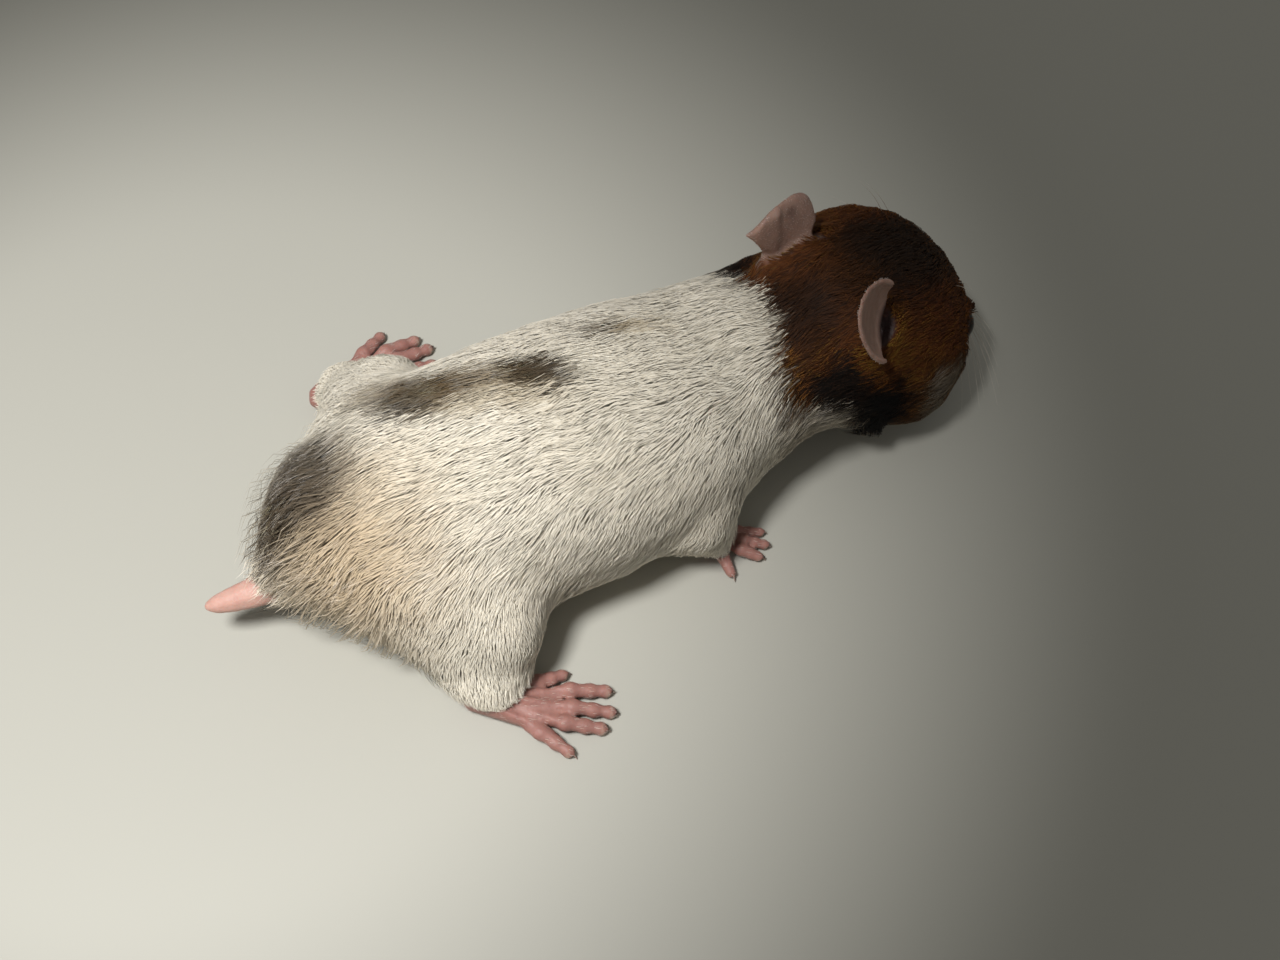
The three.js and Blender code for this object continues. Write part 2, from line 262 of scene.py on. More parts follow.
# How far places are from the nearer ear's hollow.
def fromCanal(places):
    nearest = np.full(len(places), field["band"])
    for name in earParts:
        reach = earShape["canalReach"][name]
        offset = (inEar(name, places) - earShape["canal"][name]) / reach
        nearest = np.minimum(nearest, (np.linalg.norm(offset, axis=1) - 1) * reach[0])
    return nearest


parts = {name: partDistances(name) for name in fleshParts}
for name in earParts:
    parts[name] = openCup(name, *parts[name])
parts["ear_left"] = addPoint(*parts["ear_left"])
body = np.full(gridShape, field["band"], np.float32)
bareBody = body.copy()
for name in fleshParts:
    blendIn(body, *parts[name], field["blend"] if name in largeParts else field["fineBlend"])
    if name in fineParts:
        blendIn(bareBody, *parts[name], 0.01)


def surfaceOf(values):
    grid = openvdb.FloatGrid()
    grid.background = field["band"]
    grid.transform = openvdb.createLinearTransform(voxelSize=voxel)
    grid.copyFromArray(values, ijk=tuple(int(i) for i in gridLow))
    return grid.convertToPolygons(isovalue=0, adaptivity=0)


points, triangles, quads = surfaceOf(body)
body = distancesTo(points, triangles, quads, gridLow, gridShape)
printStage("body's form")

coatDepth = {"trunk": 0.9, "head": 0.75, "face": 0.3, "bare": 0.06}
eyes = {"at": (7.3, 5.7, 1.9), "radius": 1.6}


# The places, in mm, of the grid's chosen samples.
def placesOn(chosen):
    return (np.argwhere(chosen) + gridLow).astype(np.float32) * voxel


# How far the skin lies inside the coat's tips.
def depthOver(places, fromBare):
    forward = inHead(places)[:, 0]
    depth = np.full(len(places), coatDepth["trunk"])
    depth += (coatDepth["head"] - coatDepth["trunk"]) * easing(forward, -13, -6)
    depth += (coatDepth["face"] - coatDepth["head"]) * easing(forward, 3, 13)
    return depth + (coatDepth["bare"] - depth) * (1 - easing(fromBare, 0.1, 2.6))


nearSkin = (body > -coatDepth["trunk"] - 0.6) & (body < 0.8)
rounded = softened(body, 3)
fromBare = bareBody[nearSkin]
mixing = easing(fromBare, 0.5, 3)
skinField = body + coatDepth["trunk"]
skinField[nearSkin] = body[nearSkin] + (rounded[nearSkin] - body[nearSkin]) * mixing
skinField[nearSkin] += depthOver(placesOn(nearSkin), fromBare)
printStage("skin's field")


# the face's small forms, cut into the field

face = {
    "lidThick": 0.36,
    "lidBlend": 1.4,
    "lidFlare": 0.5,
    "opening": (1.58, 1.3),  # half the eye's slit, along and across
    "nostrils": (14.75, 0.55, -1.75),
    "lip": [(14.5, 0, -2.5), (14.0, 0, -3.3), (13.3, 0, -4.0)],
    "mouth": [(13.3, 0, -4.0), (12.9, 1.1, -4.5), (11.9, 2.1, -4.7), (10.6, 2.8, -4.5)],
    "groove": 0.24,
}
eyeOut = (0.4, 0.84, 0.36)  # the way that the left eye looks, in the head's frame


def boxRound(middle, reach):
    low = np.floor((np.array(middle) - reach) / voxel).astype(int) - gridLow
    high = np.ceil((np.array(middle) + reach) / voxel).astype(int) - gridLow
    box = tuple(slice(max(0, int(a)), int(b)) for a, b in zip(low, high))
    counts = [part.stop - part.start for part in box]
    steps = np.indices(counts).reshape(3, -1).T + [part.start for part in box]
    return box, (steps + gridLow) * voxel, counts


def merged(a, b, reach):
    near = np.clip(reach - np.abs(a - b), 0, None) / reach
    return np.minimum(a, b) - near**2 * reach / 4


def cutAway(whole, hollow, reach=0.2):
    return -merged(-whole, hollow, reach)


def toSegment(places, start, end):
    start, end = np.array(start, float), np.array(end, float)
    along = np.clip(((places - start) @ (end - start)) / ((end - start) @ (end - start)), 0, 1)
    return np.linalg.norm(places - start - along[:, None] * (end - start), axis=1)


# How far places are from the almond slit between the lids; less than nothing inside it.
def fromSlit(places):
    out = np.array(eyeOut) / np.linalg.norm(eyeOut)
    slit = np.array([1, 0, 0.1]) - out * (np.array([1, 0, 0.1]) @ out)
    slit /= np.linalg.norm(slit)
    local = inHead(places)
    local[:, 1] = np.abs(local[:, 1])
    offset = local - eyes["at"]
    wide, high = face["opening"]
    lens = np.abs(offset @ np.cross(out, slit)) - high * (1 - ((offset @ slit) / wide) ** 2)
    return np.maximum(lens * 0.8, -(offset @ out))


def eyeDistance(places):
    local = inHead(places)
    local[:, 1] = np.abs(local[:, 1])
    return np.linalg.norm(local - eyes["at"], axis=1)


def shapeEye(side):
    middle = fromHead(np.array(eyes["at"]) * (1, side, 1))[0]
    box, places, counts = boxRound(middle, 3.4)
    distance = eyeDistance(places)
    values = skinField[box].ravel()
    values = merged(values, distance - eyes["radius"] - face["lidThick"], face["lidBlend"])
    values = cutAway(values, distance - eyes["radius"] - 0.02, 0.1)
    # the slit widens outwards, so each lid ends in a thin margin on the ball
    flare = face["lidFlare"] * np.clip(distance - eyes["radius"], 0, 1)
    values = cutAway(values, fromSlit(places) - flare, 0.3)
    skinField[box] = values.reshape(counts)


def shapeMuzzle():
    middle = fromHead((12.8, 0, -3))[0]
    box, places, counts = boxRound(middle, 5)
    local = inHead(places)
    local[:, 1] = np.abs(local[:, 1])
    values = skinField[box].ravel()
    fromNostril = (local - face["nostrils"]) / (1.3, 0.8, 0.8)
    values = cutAway(values, np.linalg.norm(fromNostril, axis=1) - 0.3, 0.15)
    for line in (face["lip"], face["mouth"]):
        for start, end in zip(line, line[1:]):
            values = cutAway(values, toSegment(local, start, end) - face["groove"], 0.3)
    skinField[box] = values.reshape(counts)


def fromDimple(places):
    return np.linalg.norm(places - np.array(crease["dimple"]), axis=1) - crease["dimpleRadius"]


def shapeCanal(name):
    root = fromHead(earCups[name]["root"])[0]
    box, places, counts = boxRound(root, 5)
    skinField[box] = cutAway(skinField[box].ravel(), fromCanal(places), 0.6).reshape(counts)
    skinField[box] = cutAway(skinField[box].ravel(), fromDimple(places), 0.3).reshape(counts)


# How far places are from bare skin: ears, feet, nose, tail, an ear's hollow or an open eye.
def bareDistance(places):
    eyeHole = np.maximum(fromSlit(places), eyeDistance(places) - eyes["radius"] - 1)
    return np.minimum.reduce([sampled(bareBody, gridLow, places, 3), fromCanal(places) + 0.15, eyeHole])


# toes: where each foot's ankle stands (mm), the way its toes point (degrees), its side and toes
# a toe is root, its spread there, tip, its spread there, and thickness, all from the ankle

hindToes = [(1.9, -1.5, 4.8, -3.2, 0.65), (4.2, -1.4, 8.5, -2.2, 0.72), (4.5, -0.1, 9.1, -0.4, 0.72),
            (4.2, 1.2, 8.6, 1.1, 0.72), (2.6, 1.6, 6.3, 3.4, 0.68)]
foreToes = [(1.2, -0.9, 4.1, -1.5, 0.55), (1.8, -0.3, 4.5, -0.3, 0.58), (1.8, 0.5, 4.0, 0.9, 0.58),
            (0.7, 1.0, 1.8, 2.7, 0.55)]
footPlans = {
    "hindfoot_right": {"ankle": (-17.2, -16.4), "heading": -33, "side": -1, "toes": hindToes},
    "hindfoot_left": {"ankle": (-17.8, 17.9), "heading": 10, "side": 1, "toes": hindToes},
    "forefoot_right": {"ankle": (4.9, -10.7), "heading": -30, "side": -1, "toes": foreToes},
    "forefoot_left": {"ankle": (8.2, 8.1), "heading": 14, "side": 1, "toes": foreToes},
}


def onToe(plan, toe, share, height):
    root, rootSpread, tip, spread, thick = toe
    ahead, aside = root + (tip - root) * share, plan["side"] * (rootSpread + (spread - rootSpread) * share)
    turn = math.radians(plan["heading"])
    return np.array([plan["ankle"][0] + ahead * math.cos(turn) - aside * math.sin(turn),
                     plan["ankle"][1] + ahead * math.sin(turn) + aside * math.cos(turn), height])


def shapeToes(plan):
    hind = len(plan["toes"]) == 5
    middle = onToe(plan, plan["toes"][2], 0.3, 1)
    box, places, counts = boxRound(middle, 6.5 if hind else 4)
    values = skinField[box].ravel()
    for one, two in zip(plan["toes"], plan["toes"][1:]):
        ends = [(onToe(plan, one, share, 0) + onToe(plan, two, share, 0)) / 2 for share in (-0.55, 0.2, 1.3)]
        # the parting between two toes, from the web to the tips, and the shallow groove behind it
        start, end = ends[1][:2], ends[2][:2]
        along = np.clip(((places[:, :2] - start) @ (end - start)) / ((end - start) @ (end - start)), 0, 1)
        away = np.linalg.norm(places[:, :2] - start - along[:, None] * (end - start), axis=1)
        values = cutAway(values, away - 0.12 - 0.16 * along, 0.3)
        heights = (2.3, 1.7) if hind else (1.9, 1.5)
        groove = toSegment(places, ends[0] + (0, 0, heights[0]), ends[1] + (0, 0, heights[1]))
        values = cutAway(values, groove - 0.22, 0.5)
    for toe in plan["toes"]:
        for share, height, size in ((0.32, 1.1, 1.0), (0.68, 0.78, 0.86), (0.96, 0.56, 0.8)):
            knuckle = np.linalg.norm(places - onToe(plan, toe, share, height), axis=1) - toe[4] * size
            values = merged(values, knuckle, 0.25)
    skinField[box] = values.reshape(counts)


shapeEye(1)
shapeEye(-1)
shapeMuzzle()
for name in earParts:
    shapeCanal(name)
for plan in footPlans.values():
    shapeToes(plan)
printStage("face, ears and toes")


# the skin's mesh

skinMesh = {
    "faces": 186000,
    "evening": 6,  # rounds of smoothing away from the face, ears and feet
    "finish": 2,  # everywhere
    "thinEvening": 7,  # on the ears and lids
    "muzzle": (13, 0, -3),  # the middle of the muzzle's small forms, in the head's frame
}


def fromPart(name, places):
    return sampled(parts[name][1], parts[name][0], places, field["band"])


# A share from 1 at the named parts to 0 away from them.
def near(names, places, low, high):
    return np.maximum.reduce([1 - easing(fromPart(name, places), low, high) for name in names])


def newObject(name, mesh):
    made = bpy.data.objects.new(name, mesh)
    bpy.context.scene.collection.objects.link(made)
    return made


# The object's mesh after one more modifier.
def withModifier(source, kind, **settings):
    modifier = source.modifiers.new(kind, kind)
    for key, value in settings.items():
        setattr(modifier, key, value)
    evaluated = source.evaluated_get(bpy.context.evaluated_depsgraph_get())
    mesh = bpy.data.meshes.new_from_object(evaluated)
    source.modifiers.clear()
    old, source.data = source.data, mesh
    bpy.data.meshes.remove(old)


def setWeights(made, name, weights):
    group = made.vertex_groups.new(name=name)
    steps = np.round(np.clip(weights, 0, 1) * 10).astype(int)
    for step in range(1, 11):
        chosen = np.nonzero(steps == step)[0]
        if len(chosen):
            group.add(chosen.tolist(), step / 10, "REPLACE")


# A mesh from numpy arrays; `polygons` is a list of arrays with 3 or 4 corners to a row.
def meshOf(name, points, polygons):
    mesh = bpy.data.meshes.new(name)
    sizes = np.concatenate([np.full(len(part), part.shape[1]) for part in polygons])
    corners = np.concatenate([part.ravel() for part in polygons])
    mesh.vertices.add(len(points))
    mesh.vertices.foreach_set("co", np.asarray(points, np.float32).ravel())
    mesh.loops.add(len(corners))
    mesh.loops.foreach_set("vertex_index", corners.astype(np.int32))
    mesh.polygons.add(len(sizes))
    mesh.polygons.foreach_set("loop_start", (np.cumsum(sizes) - sizes).astype(np.int32))
    mesh.polygons.foreach_set("use_smooth", np.ones(len(sizes), bool))
    mesh.update(calc_edges=True)
    return mesh


# Drops the small shells inside the body.
def mainShell(points, quads):
    label = np.arange(len(points))
    while True:
        least = label[quads].min(axis=1)
        new = label.copy()
        for corner in range(4):
            np.minimum.at(new, quads[:, corner], least)
        new = new[new]
        if (new == label).all():
            break
        label = new
    kept = label == np.bincount(label).argmax()
    order = np.cumsum(kept) - 1
    return points[kept], order[quads[kept[quads].all(axis=1)]]


points, triangles, quads = surfaceOf(skinField)
points, quads = mainShell(points, quads)
printStage("skin's surface, faces: " + str(len(quads)))
skin = newObject("skin", meshOf("skin", points * mm, [quads]))
fromBare = sampled(bareBody, gridLow, points, field["band"])
eyeNear = eyeDistance(points)
muzzleNear = np.linalg.norm(inHead(points) - skinMesh["muzzle"], axis=1)
fineArea = [1 - easing(fromBare, 0.3, 1.2), 1 - easing(eyeNear, 2.5, 3.5), 1 - easing(muzzleNear, 4, 6)]
setWeights(skin, "coarse", 1 - np.maximum.reduce(fineArea))
setWeights(skin, "thin", np.maximum(near(earParts, points, 0.2, 0.8), 1 - easing(eyeNear, 2.3, 3)))
evenings = (("coarse", skinMesh["evening"]), ("", skinMesh["finish"]), ("thin", skinMesh["thinEvening"]))
for group, rounds in evenings:
    withModifier(skin, "SMOOTH", factor=0.5, iterations=rounds, vertex_group=group)
share = skinMesh["faces"] / (2 * len(quads))
if share < 1:
    withModifier(skin, "DECIMATE", ratio=share, vertex_group="coarse", use_collapse_triangulate=True)
printStage("skin's mesh, faces: " + str(len(skin.data.polygons)))


def unwrap(made):
    bpy.context.view_layer.objects.active = made
    made.select_set(True)
    made.data.uv_layers.new(name="OFBake")
    bpy.ops.object.mode_set(mode="EDIT")
    bpy.ops.mesh.select_all(action="SELECT")
    bpy.ops.uv.smart_project(angle_limit=math.radians(66), island_margin=0.003)
    bpy.ops.object.mode_set(mode="OBJECT")
    made.select_set(False)


unwrap(skin)
printStage("skin's map")


# the coat: tufts of hair over the skin
coat = {
    "tufts": 144000,
    "perPiece": 18000,
    "width": 0.11,  # mm, at a tuft's middle
    "thickness": 0.28,  # as a share of the width
    "roundness": 0.5,  # how far a tuft's sides are shaded as turned away
    "rooted": 0.08,  # mm, how deep a tuft starts in the skin
    "stray": 0.4,  # mm: how far single hairs carry their colour past a marking's edge
    "wisps": 0.12,  # the share of the rump's hairs that stand out
    "patch": 0.003,  # a tuft's own size on the skin's map
    "seed": 7,
}
# mm; each region is laid over the ones before it
hairLength = {"trunk": 3.3, "head": 2.3, "face": 1.3, "muzzle": 0.7, "rump": 4.0, "leg": 2.4,
              "nearFoot": 1.3, "foot": 0.7, "ear": 0.4, "tail": 0.5, "cheekTip": 3.0, "eye": 0.42}
# tufts to an area, compared with the trunk
hairDensity = {"trunk": 1, "head": 1.7, "face": 2.4, "muzzle": 3.2, "leg": 1.7, "foot": 0.08, "ear": 0.3,
               "tail": 0, "nose": 0}
# the ways that the hairs point, on the trunk in the part's frame and on the head in its own
lie = {
    "trunk": (-1, 0, -0.1),
    "flank": (0.25, 0, -0.75),  # added where the skin faces sideways
    "rump": (0, 0, -0.5),  # added behind the hips
    "rumpMiddle": (-29, -0.8, 9),
    "head": (-1, 0, 0),
    "cheek": (0, 0, -0.45),
    "throat": (0.1, 0, -0.1),
    "cheekTip": (0.25, 0, -1),
    "tail": (-1, 0.15, -0.1),
}
# where each leg's fur starts and where it runs to, in mm
legLines = {
    "hindleg_right": ((-17, -9, 9), (-15, -16, 1.5)),
    "hindleg_left": ((-16, 6, 9), (-16, 17, 1.5)),
    "foreleg_right": ((5, -8, 8), (5.5, -12, 1.5)),
    "foreleg_left": ((6.5, 5, 8), (8.5, 9, 1.5)),
}
cheekTip = (-1.8, 7.2, -4.8)  # where longer dark hairs hang from the cheek, in the head's frame


def unit(vectors):
    return vectors / np.maximum(np.linalg.norm(vectors, axis=-1, keepdims=True), 1e-9)


# Smooth noise between about -1 and 1, made of a few crossed waves.
def ripple(places, size, seed):
    draw = np.random.default_rng(seed)
    ways = unit(draw.normal(size=(7, 3))) * 2 * math.pi / size * draw.uniform(0.7, 1.4, (7, 1))
    return np.sin(places @ ways.T + draw.uniform(0, 6.3, 7)).mean(axis=1) * 2


# The field's own slope, which points out of the skin.
def outwards(places):
    steps = np.eye(3) * voxel
    slope = [sampled(skinField, gridLow, places + step, 3) - sampled(skinField, gridLow, places - step, 3)
             for step in steps]
    return unit(np.stack(slope, axis=1))


def fromCheekTip(local):
    mirrored = np.abs(local * (0, 1, 0)) + local * (1, 0, 1)
    return np.linalg.norm(mirrored - cheekTip, axis=1)


# The way that the hairs point, along the skin.
def lieOf(places, normals):
    local = inHead(places)
    onHead = easing(local[:, 0], -13, -7)[:, None]
    sideways = np.abs(normals[:, 1:2])
    trunkWay = np.array(lie["trunk"]) + sideways * lie["flank"]
    rump = easing(-places[:, 0], 20, 29)[:, None]
    trunkWay = trunkWay + rump * (lie["rump"] - 0.03 * (places - lie["rumpMiddle"]) * (0, 1, 0))
    cheek = np.clip(np.abs(local[:, 1:2]) / 8, 0, 1)
    below = np.clip(-local[:, 2:3] / 6, 0, 1)
    headWay = (np.array(lie["head"]) + cheek * lie["cheek"] + below * lie["throat"]) @ headTurn.T
    way = trunkWay * (1 - onHead) + headWay * onHead
    hanging = 1 - easing(fromCheekTip(local), 0.8, 3.2)[:, None]
    way = way * (1 - hanging) + hanging * lie["cheekTip"] + hanging * np.sign(local[:, 1:2]) * (0, 0.3, 0)
    for name, (start, end) in legLines.items():
        start, end = np.array(start, float), np.array(end, float)
        alongLeg = np.clip(((places - start) @ (end - start)) / ((end - start) @ (end - start)), 0, 1)
        share = near([name], places, -1, 1.5) * (0.25 + 0.75 * easing(alongLeg, 0.2, 0.9))
        way = way + share[:, None] * (2.2 * unit(end - start) - way * 0.6)
    turns = {name: math.radians(plan["heading"]) for name, plan in footPlans.items()}
    ends = {name: np.array((math.cos(turn), math.sin(turn), 0)) for name, turn in turns.items()}
    ends.update({name: headTurn @ np.array(cup["rise"]) for name, cup in earCups.items()})
    for name, end in ends.items():
        share = near([name], places, 0.2, 1)[:, None]
        way = way * (1 - share) + share * end
    share = near(["tail"], places, 0.3, 1.2)[:, None]
    way = way * (1 - share) + share * lie["tail"]
    return unit(way - normals * (way * normals).sum(axis=1, keepdims=True))


def turned(ways, normals, angles):
    across = np.cross(normals, ways)
    return ways * np.cos(angles)[:, None] + across * np.sin(angles)[:, None]


# Shares of the coat's regions at each place.
def regionsOf(places):
    local = inHead(places)
    return {
        "head": easing(local[:, 0], -13, -7),
        "face": easing(local[:, 0], 1, 11),
        "muzzle": easing(local[:, 0], 9, 14),
        "rump": easing(-places[:, 0], 17, 27),
        "leg": near(legLines, places, -0.5, 1),
        "nearFoot": near(feet, places, 0.3, 3.0),
        "foot": near(feet, places, 0.1, 0.5),
        "ear": near(earParts, places, 0.1, 0.6),
        "tail": near(["tail"], places, 0.1, 0.7),
        "nose": near(["nose"], places, 0.2, 0.8),
        "eye": 1 - easing(eyeDistance(places), 1.9, 3.3),
        "cheekTip": 1 - easing(fromCheekTip(local), 0.8, 2.8),
    }


def mixIn(value, share, target):
    return value + (target - value) * share


# The trunk's value, drawn towards each other region's by its share.
def overRegions(values, regions):
    result = np.full(len(regions["head"]), float(values["trunk"]))
    for name, value in values.items():
        if name != "trunk":
            result = mixIn(result, regions[name], value)
    return result


def densityOf(regions, places):
    density = overRegions(hairDensity, regions)
    normals = outwards(places)
    for name in earParts:
        opening = headTurn @ (np.array(earCups[name]["opening"]) + 0.3 * np.array(earCups[name]["rise"]))
        density[(fromPart(name, places) < 0.5) & (normals @ opening > -0.15)] = 0  # bare inside the cup
    density[fromCanal(places) < 0.35] = 0
    density *= 1 - 0.5 * (1 - easing(places[:, 2], 0.5, 2)) * (regions["foot"] < 0.1)  # thinner underneath
    lidHeight = eyeDistance(places) - eyes["radius"]
    density[((fromSlit(places) < 0.45) & (lidHeight < 0.9)) | (lidHeight < 0.26)] = 0
    return density


# Roots spread over the skin, and their places on its map.
def scatter(draw):
    points, triangles = meshArrays(skin.data)
    points = points.astype(float) / mm
    corners = points[triangles]
    middles = corners.mean(axis=1)
    areas = np.linalg.norm(np.cross(corners[:, 1] - corners[:, 0], corners[:, 2] - corners[:, 0]), axis=1)
    chance = areas * densityOf(regionsOf(middles), middles)
    chosen = draw.choice(len(triangles), coat["tufts"], p=chance / chance.sum())
    one, two = draw.random(coat["tufts"]), draw.random(coat["tufts"])
    flip = one + two > 1
    one[flip], two[flip] = 1 - one[flip], 1 - two[flip]
    shares = np.stack([1 - one - two, one, two], axis=1)
    loops = np.empty(len(triangles) * 3, np.int32)
    skin.data.loop_triangles.foreach_get("loops", loops)
    loops = loops.reshape(-1, 3)[chosen]
    uvs = np.empty(len(skin.data.loops) * 2, np.float32)
    skin.data.uv_layers["OFBake"].data.foreach_get("uv", uvs)
    onMap = (uvs.reshape(-1, 2)[loops] * shares[:, :, None]).sum(axis=1)
    return (corners[chosen] * shares[:, :, None]).sum(axis=1), onMap


# The share of each tuft's length that stays off the ears, the nose and the tail.
def clearOfBare(roots, ways, length, regions):
    free = np.ones(len(roots))
    overFoot = regions["nearFoot"] > 0.05
    start = bareDistance(roots)
    for share in (1, 0.75, 0.5, 0.25):
        ahead = bareDistance(roots + ways * (length * share)[:, None])
        free[(ahead < 0.25) & (start > 0.25) & ~overFoot] = share * 0.85
    return free


def growTufts():
    draw = np.random.default_rng(coat["seed"])
    roots, onMap = scatter(draw)
    count = len(roots)
    regions = regionsOf(roots)
    normals = outwards(roots)
    swirl = 0.2 * ripple(roots, 6, 1) + 0.1 * ripple(roots, 1.8, 2) + draw.normal(0, 0.1, count)
    curl = draw.normal(0, 0.11, count) + 0.14 * ripple(roots, 2.5, 3)
    length = overRegions(hairLength, regions) * draw.uniform(0.65, 1.15, count)
    depth = depthOver(roots, sampled(bareBody, gridLow, roots, 3))
    height = depth * (0.5 + 0.5 * draw.random(count) ** 0.6) * (1 + 0.13 * ripple(roots, 1.7, 4))
    wisp = (draw.random(count) < coat["wisps"] * regions["rump"]) * regions["rump"]
    height += wisp * draw.uniform(0.3, 1.7, count) + regions["cheekTip"] * draw.uniform(0.2, 1.3, count)
    length *= 1 + 0.25 * wisp
    bareness = np.maximum.reduce([regions["foot"], regions["ear"], regions["tail"]])
    width = coat["width"] * mixIn(1 - 0.2 * regions["head"] - 0.1 * regions["face"], bareness, 0.35)
    width *= draw.uniform(0.7, 1.2, count) * (1 - 0.35 * wisp)
    shares = (0, 0.5, 1)
    spine = [roots - normals * coat["rooted"]]
    ways, outs = [turned(lieOf(roots, normals), normals, swirl)], [normals]
    length *= clearOfBare(roots, ways[0], length, regions)
    shown = roots + ways[0] * (length * 0.6)[:, None] + draw.normal(0, 1, (count, 3)) * coat["stray"]
    place = roots
    for before, after in zip(shares, shares[1:]):
        step = (after - before) * length
        place = place + ways[-1] * step[:, None]
        normals = outwards(place)
        rise = height * (0.9 if after < 1 else 0.92) + wisp * (after == 1) * 0.4
        place = place + normals * (rise - sampled(skinField, gridLow, place, 3))[:, None]
        spine.append(place)
        ways.append(turned(lieOf(place, normals), normals, swirl + curl * after))
        outs.append(normals)
    return shown, onMap, spine, ways, outs, width, bareness, draw.random(count)


tuftRings = 2
tuftCorners = tuftRings * 3 + 1


# Corner numbers of one tuft's faces, repeated for each tuft.
def tuftPolygons(count):
    quads = [[3 * r + i, 3 * r + (i + 1) % 3, 3 * r + 3 + (i + 1) % 3, 3 * r + 3 + i]
             for r in range(tuftRings - 1) for i in range(3)]
    last = 3 * (tuftRings - 1)
    triangles = [[last + i, last + (i + 1) % 3, tuftCorners - 1] for i in range(3)] + [[2, 1, 0]]
    firsts = (np.arange(count) * tuftCorners)[:, None, None]
    return [(np.array(faces) + firsts).reshape(-1, len(faces[0])) for faces in (quads, triangles)]


def tuftMesh(name, chosen, grown):
    shown, onMap, spine, ways, outs, width, bareness, grain = grown
    count = len(chosen)
    corners = np.empty((count, tuftCorners, 3))
    facing = np.empty((count, tuftCorners, 3))
    onMapCorners = np.empty((count, tuftCorners, 2))
    along = np.empty((count, tuftCorners))
    for ring, taper in enumerate((0.7, 1)):
        wide = (width[chosen] * taper / 2)[:, None]
        way, out = ways[ring][chosen], outs[ring][chosen]
        across = np.cross(out, way)
        middle = spine[ring][chosen]
        for i, (sideways, upwards) in enumerate(((-1, 0), (1, 0), (0, 1))):
            offset = across * wide * sideways + out * wide * 2 * coat["thickness"] * upwards
            corners[:, 3 * ring + i] = middle + offset
            facing[:, 3 * ring + i] = out + across * sideways * coat["roundness"]
            onPatch = np.array([sideways / 2, ring / 2 - 0.5])
            onMapCorners[:, 3 * ring + i] = onMap[chosen] + coat["patch"] * onPatch
        along[:, 3 * ring:3 * ring + 3] = ring / 2
    corners[:, -1] = spine[-1][chosen]
    facing[:, -1] = outs[-1][chosen]
    onMapCorners[:, -1] = onMap[chosen] + coat["patch"] * np.array([0, 0.5])
    along[:, -1] = 1
    polygons = tuftPolygons(count)
    mesh = meshOf(name, corners.reshape(-1, 3) * mm, polygons)
    loopCorners = np.concatenate([part.ravel() for part in polygons])
    bakeMap = mesh.uv_layers.new(name="OFBake")
    bakeMap.data.foreach_set("uv", onMapCorners.reshape(-1, 2)[loopCorners].astype(np.float32).ravel())
    # a lock of soft hair is shaded as a part of the whole coat, not as a hard stick
    mesh.normals_split_custom_set_from_vertices(unit(facing).reshape(-1, 3))
    setFloats(mesh, "grain", np.repeat(grain[chosen], tuftCorners))
    setFloats(mesh, "pale", np.repeat(bareness[chosen], tuftCorners))
    setFloats(mesh, "along", along.ravel())
    # where a tuft shows, which gives its colour
    showing = np.repeat(shown[chosen] * mm, tuftCorners, axis=0).astype(np.float32)
    mesh.attributes.new("shownAt", "FLOAT_VECTOR", "POINT").data.foreach_set("vector", showing.ravel())
    return mesh


def setFloats(mesh, name, values):
    mesh.attributes.new(name, "FLOAT", "POINT").data.foreach_set("value", values.astype(np.float32))


grown = growTufts()
printStage("tufts grown")


# materials

# A linear colour from an sRGB hex code.
def colour(code):
    parts = [int(code[i:i + 2], 16) / 255 for i in (1, 3, 5)]
    return (*[c / 12.92 if c <= 0.04045 else ((c + 0.055) / 1.055) ** 2.4 for c in parts], 1)


def newMaterial(name, finish):
    material = bpy.data.materials.new(name)
    material.use_nodes = True
    tree = material.node_tree
    shader = tree.nodes["Principled BSDF"]
    for key, value in finish.items():
        shader.inputs[key].default_value = value
    return material, tree, shader


# Adds a node with its settings, and gives its inputs sockets or fixed values.
def addNode(tree, kind, inputs=(), **settings):
    node = tree.nodes.new(kind)
    for key, value in settings.items():
        setattr(node, key, value)
    for key, value in dict(inputs).items():
        if isinstance(value, bpy.types.NodeSocket):
            tree.links.new(value, node.inputs[key])
        else:
            node.inputs[key].default_value = value
    return node


# The piece's own attributes, read by name.
def attributesOf(tree, *names):
    return {name: addNode(tree, "ShaderNodeAttribute", attribute_name=name).outputs["Fac"] for name in names}


# each oval mark: its colour, middle, reach, turn (degrees), softness and strength
# places and reaches in mm; on the head they are in the head's own frame and lie on both sides
trunkMarks = [
    ("#B8925F", (-24.5, -6.0, 12.0), (7.5, 7.0, 8.0), 20, 0.7, 0.62),
    ("#33240F", (-14.3, 2.9, 16.8), (3.7, 2.5, 6.0), -26, 0.5, 0.93),
    ("#57411F", (-16.9, 5.9, 14.5), (3.0, 2.2, 6.0), -26, 0.6, 0.65),
    ("#57411F", (-9.2, 1.7, 17.6), (4.6, 1.4, 6.0), -20, 0.6, 0.8),
    ("#33240F", (-5.3, 0.4, 18.0), (3.3, 1.5, 6.0), -28, 0.5, 0.93),
    ("#9C7F4C", (-8.8, -0.9, 18.0), (5.0, 1.2, 6.0), -20, 0.8, 0.4),
    ("#2B1D0D", (-24.9, 1.3, 13.8), (4.4, 4.6, 6.0), 20, 0.5, 0.9),
    ("#2E2010", (-28.4, -0.6, 11.0), (2.3, 2.6, 3.4), 0, 0.5, 0.85),
    ("#402C13", (1.3, 2.4, 17.3), (2.4, 0.75, 6.0), -22, 0.6, 0.85),
    ("#9C7F4C", (4.2, 1.1, 17.3), (2.2, 0.7, 6.0), -24, 0.8, 0.5),
]
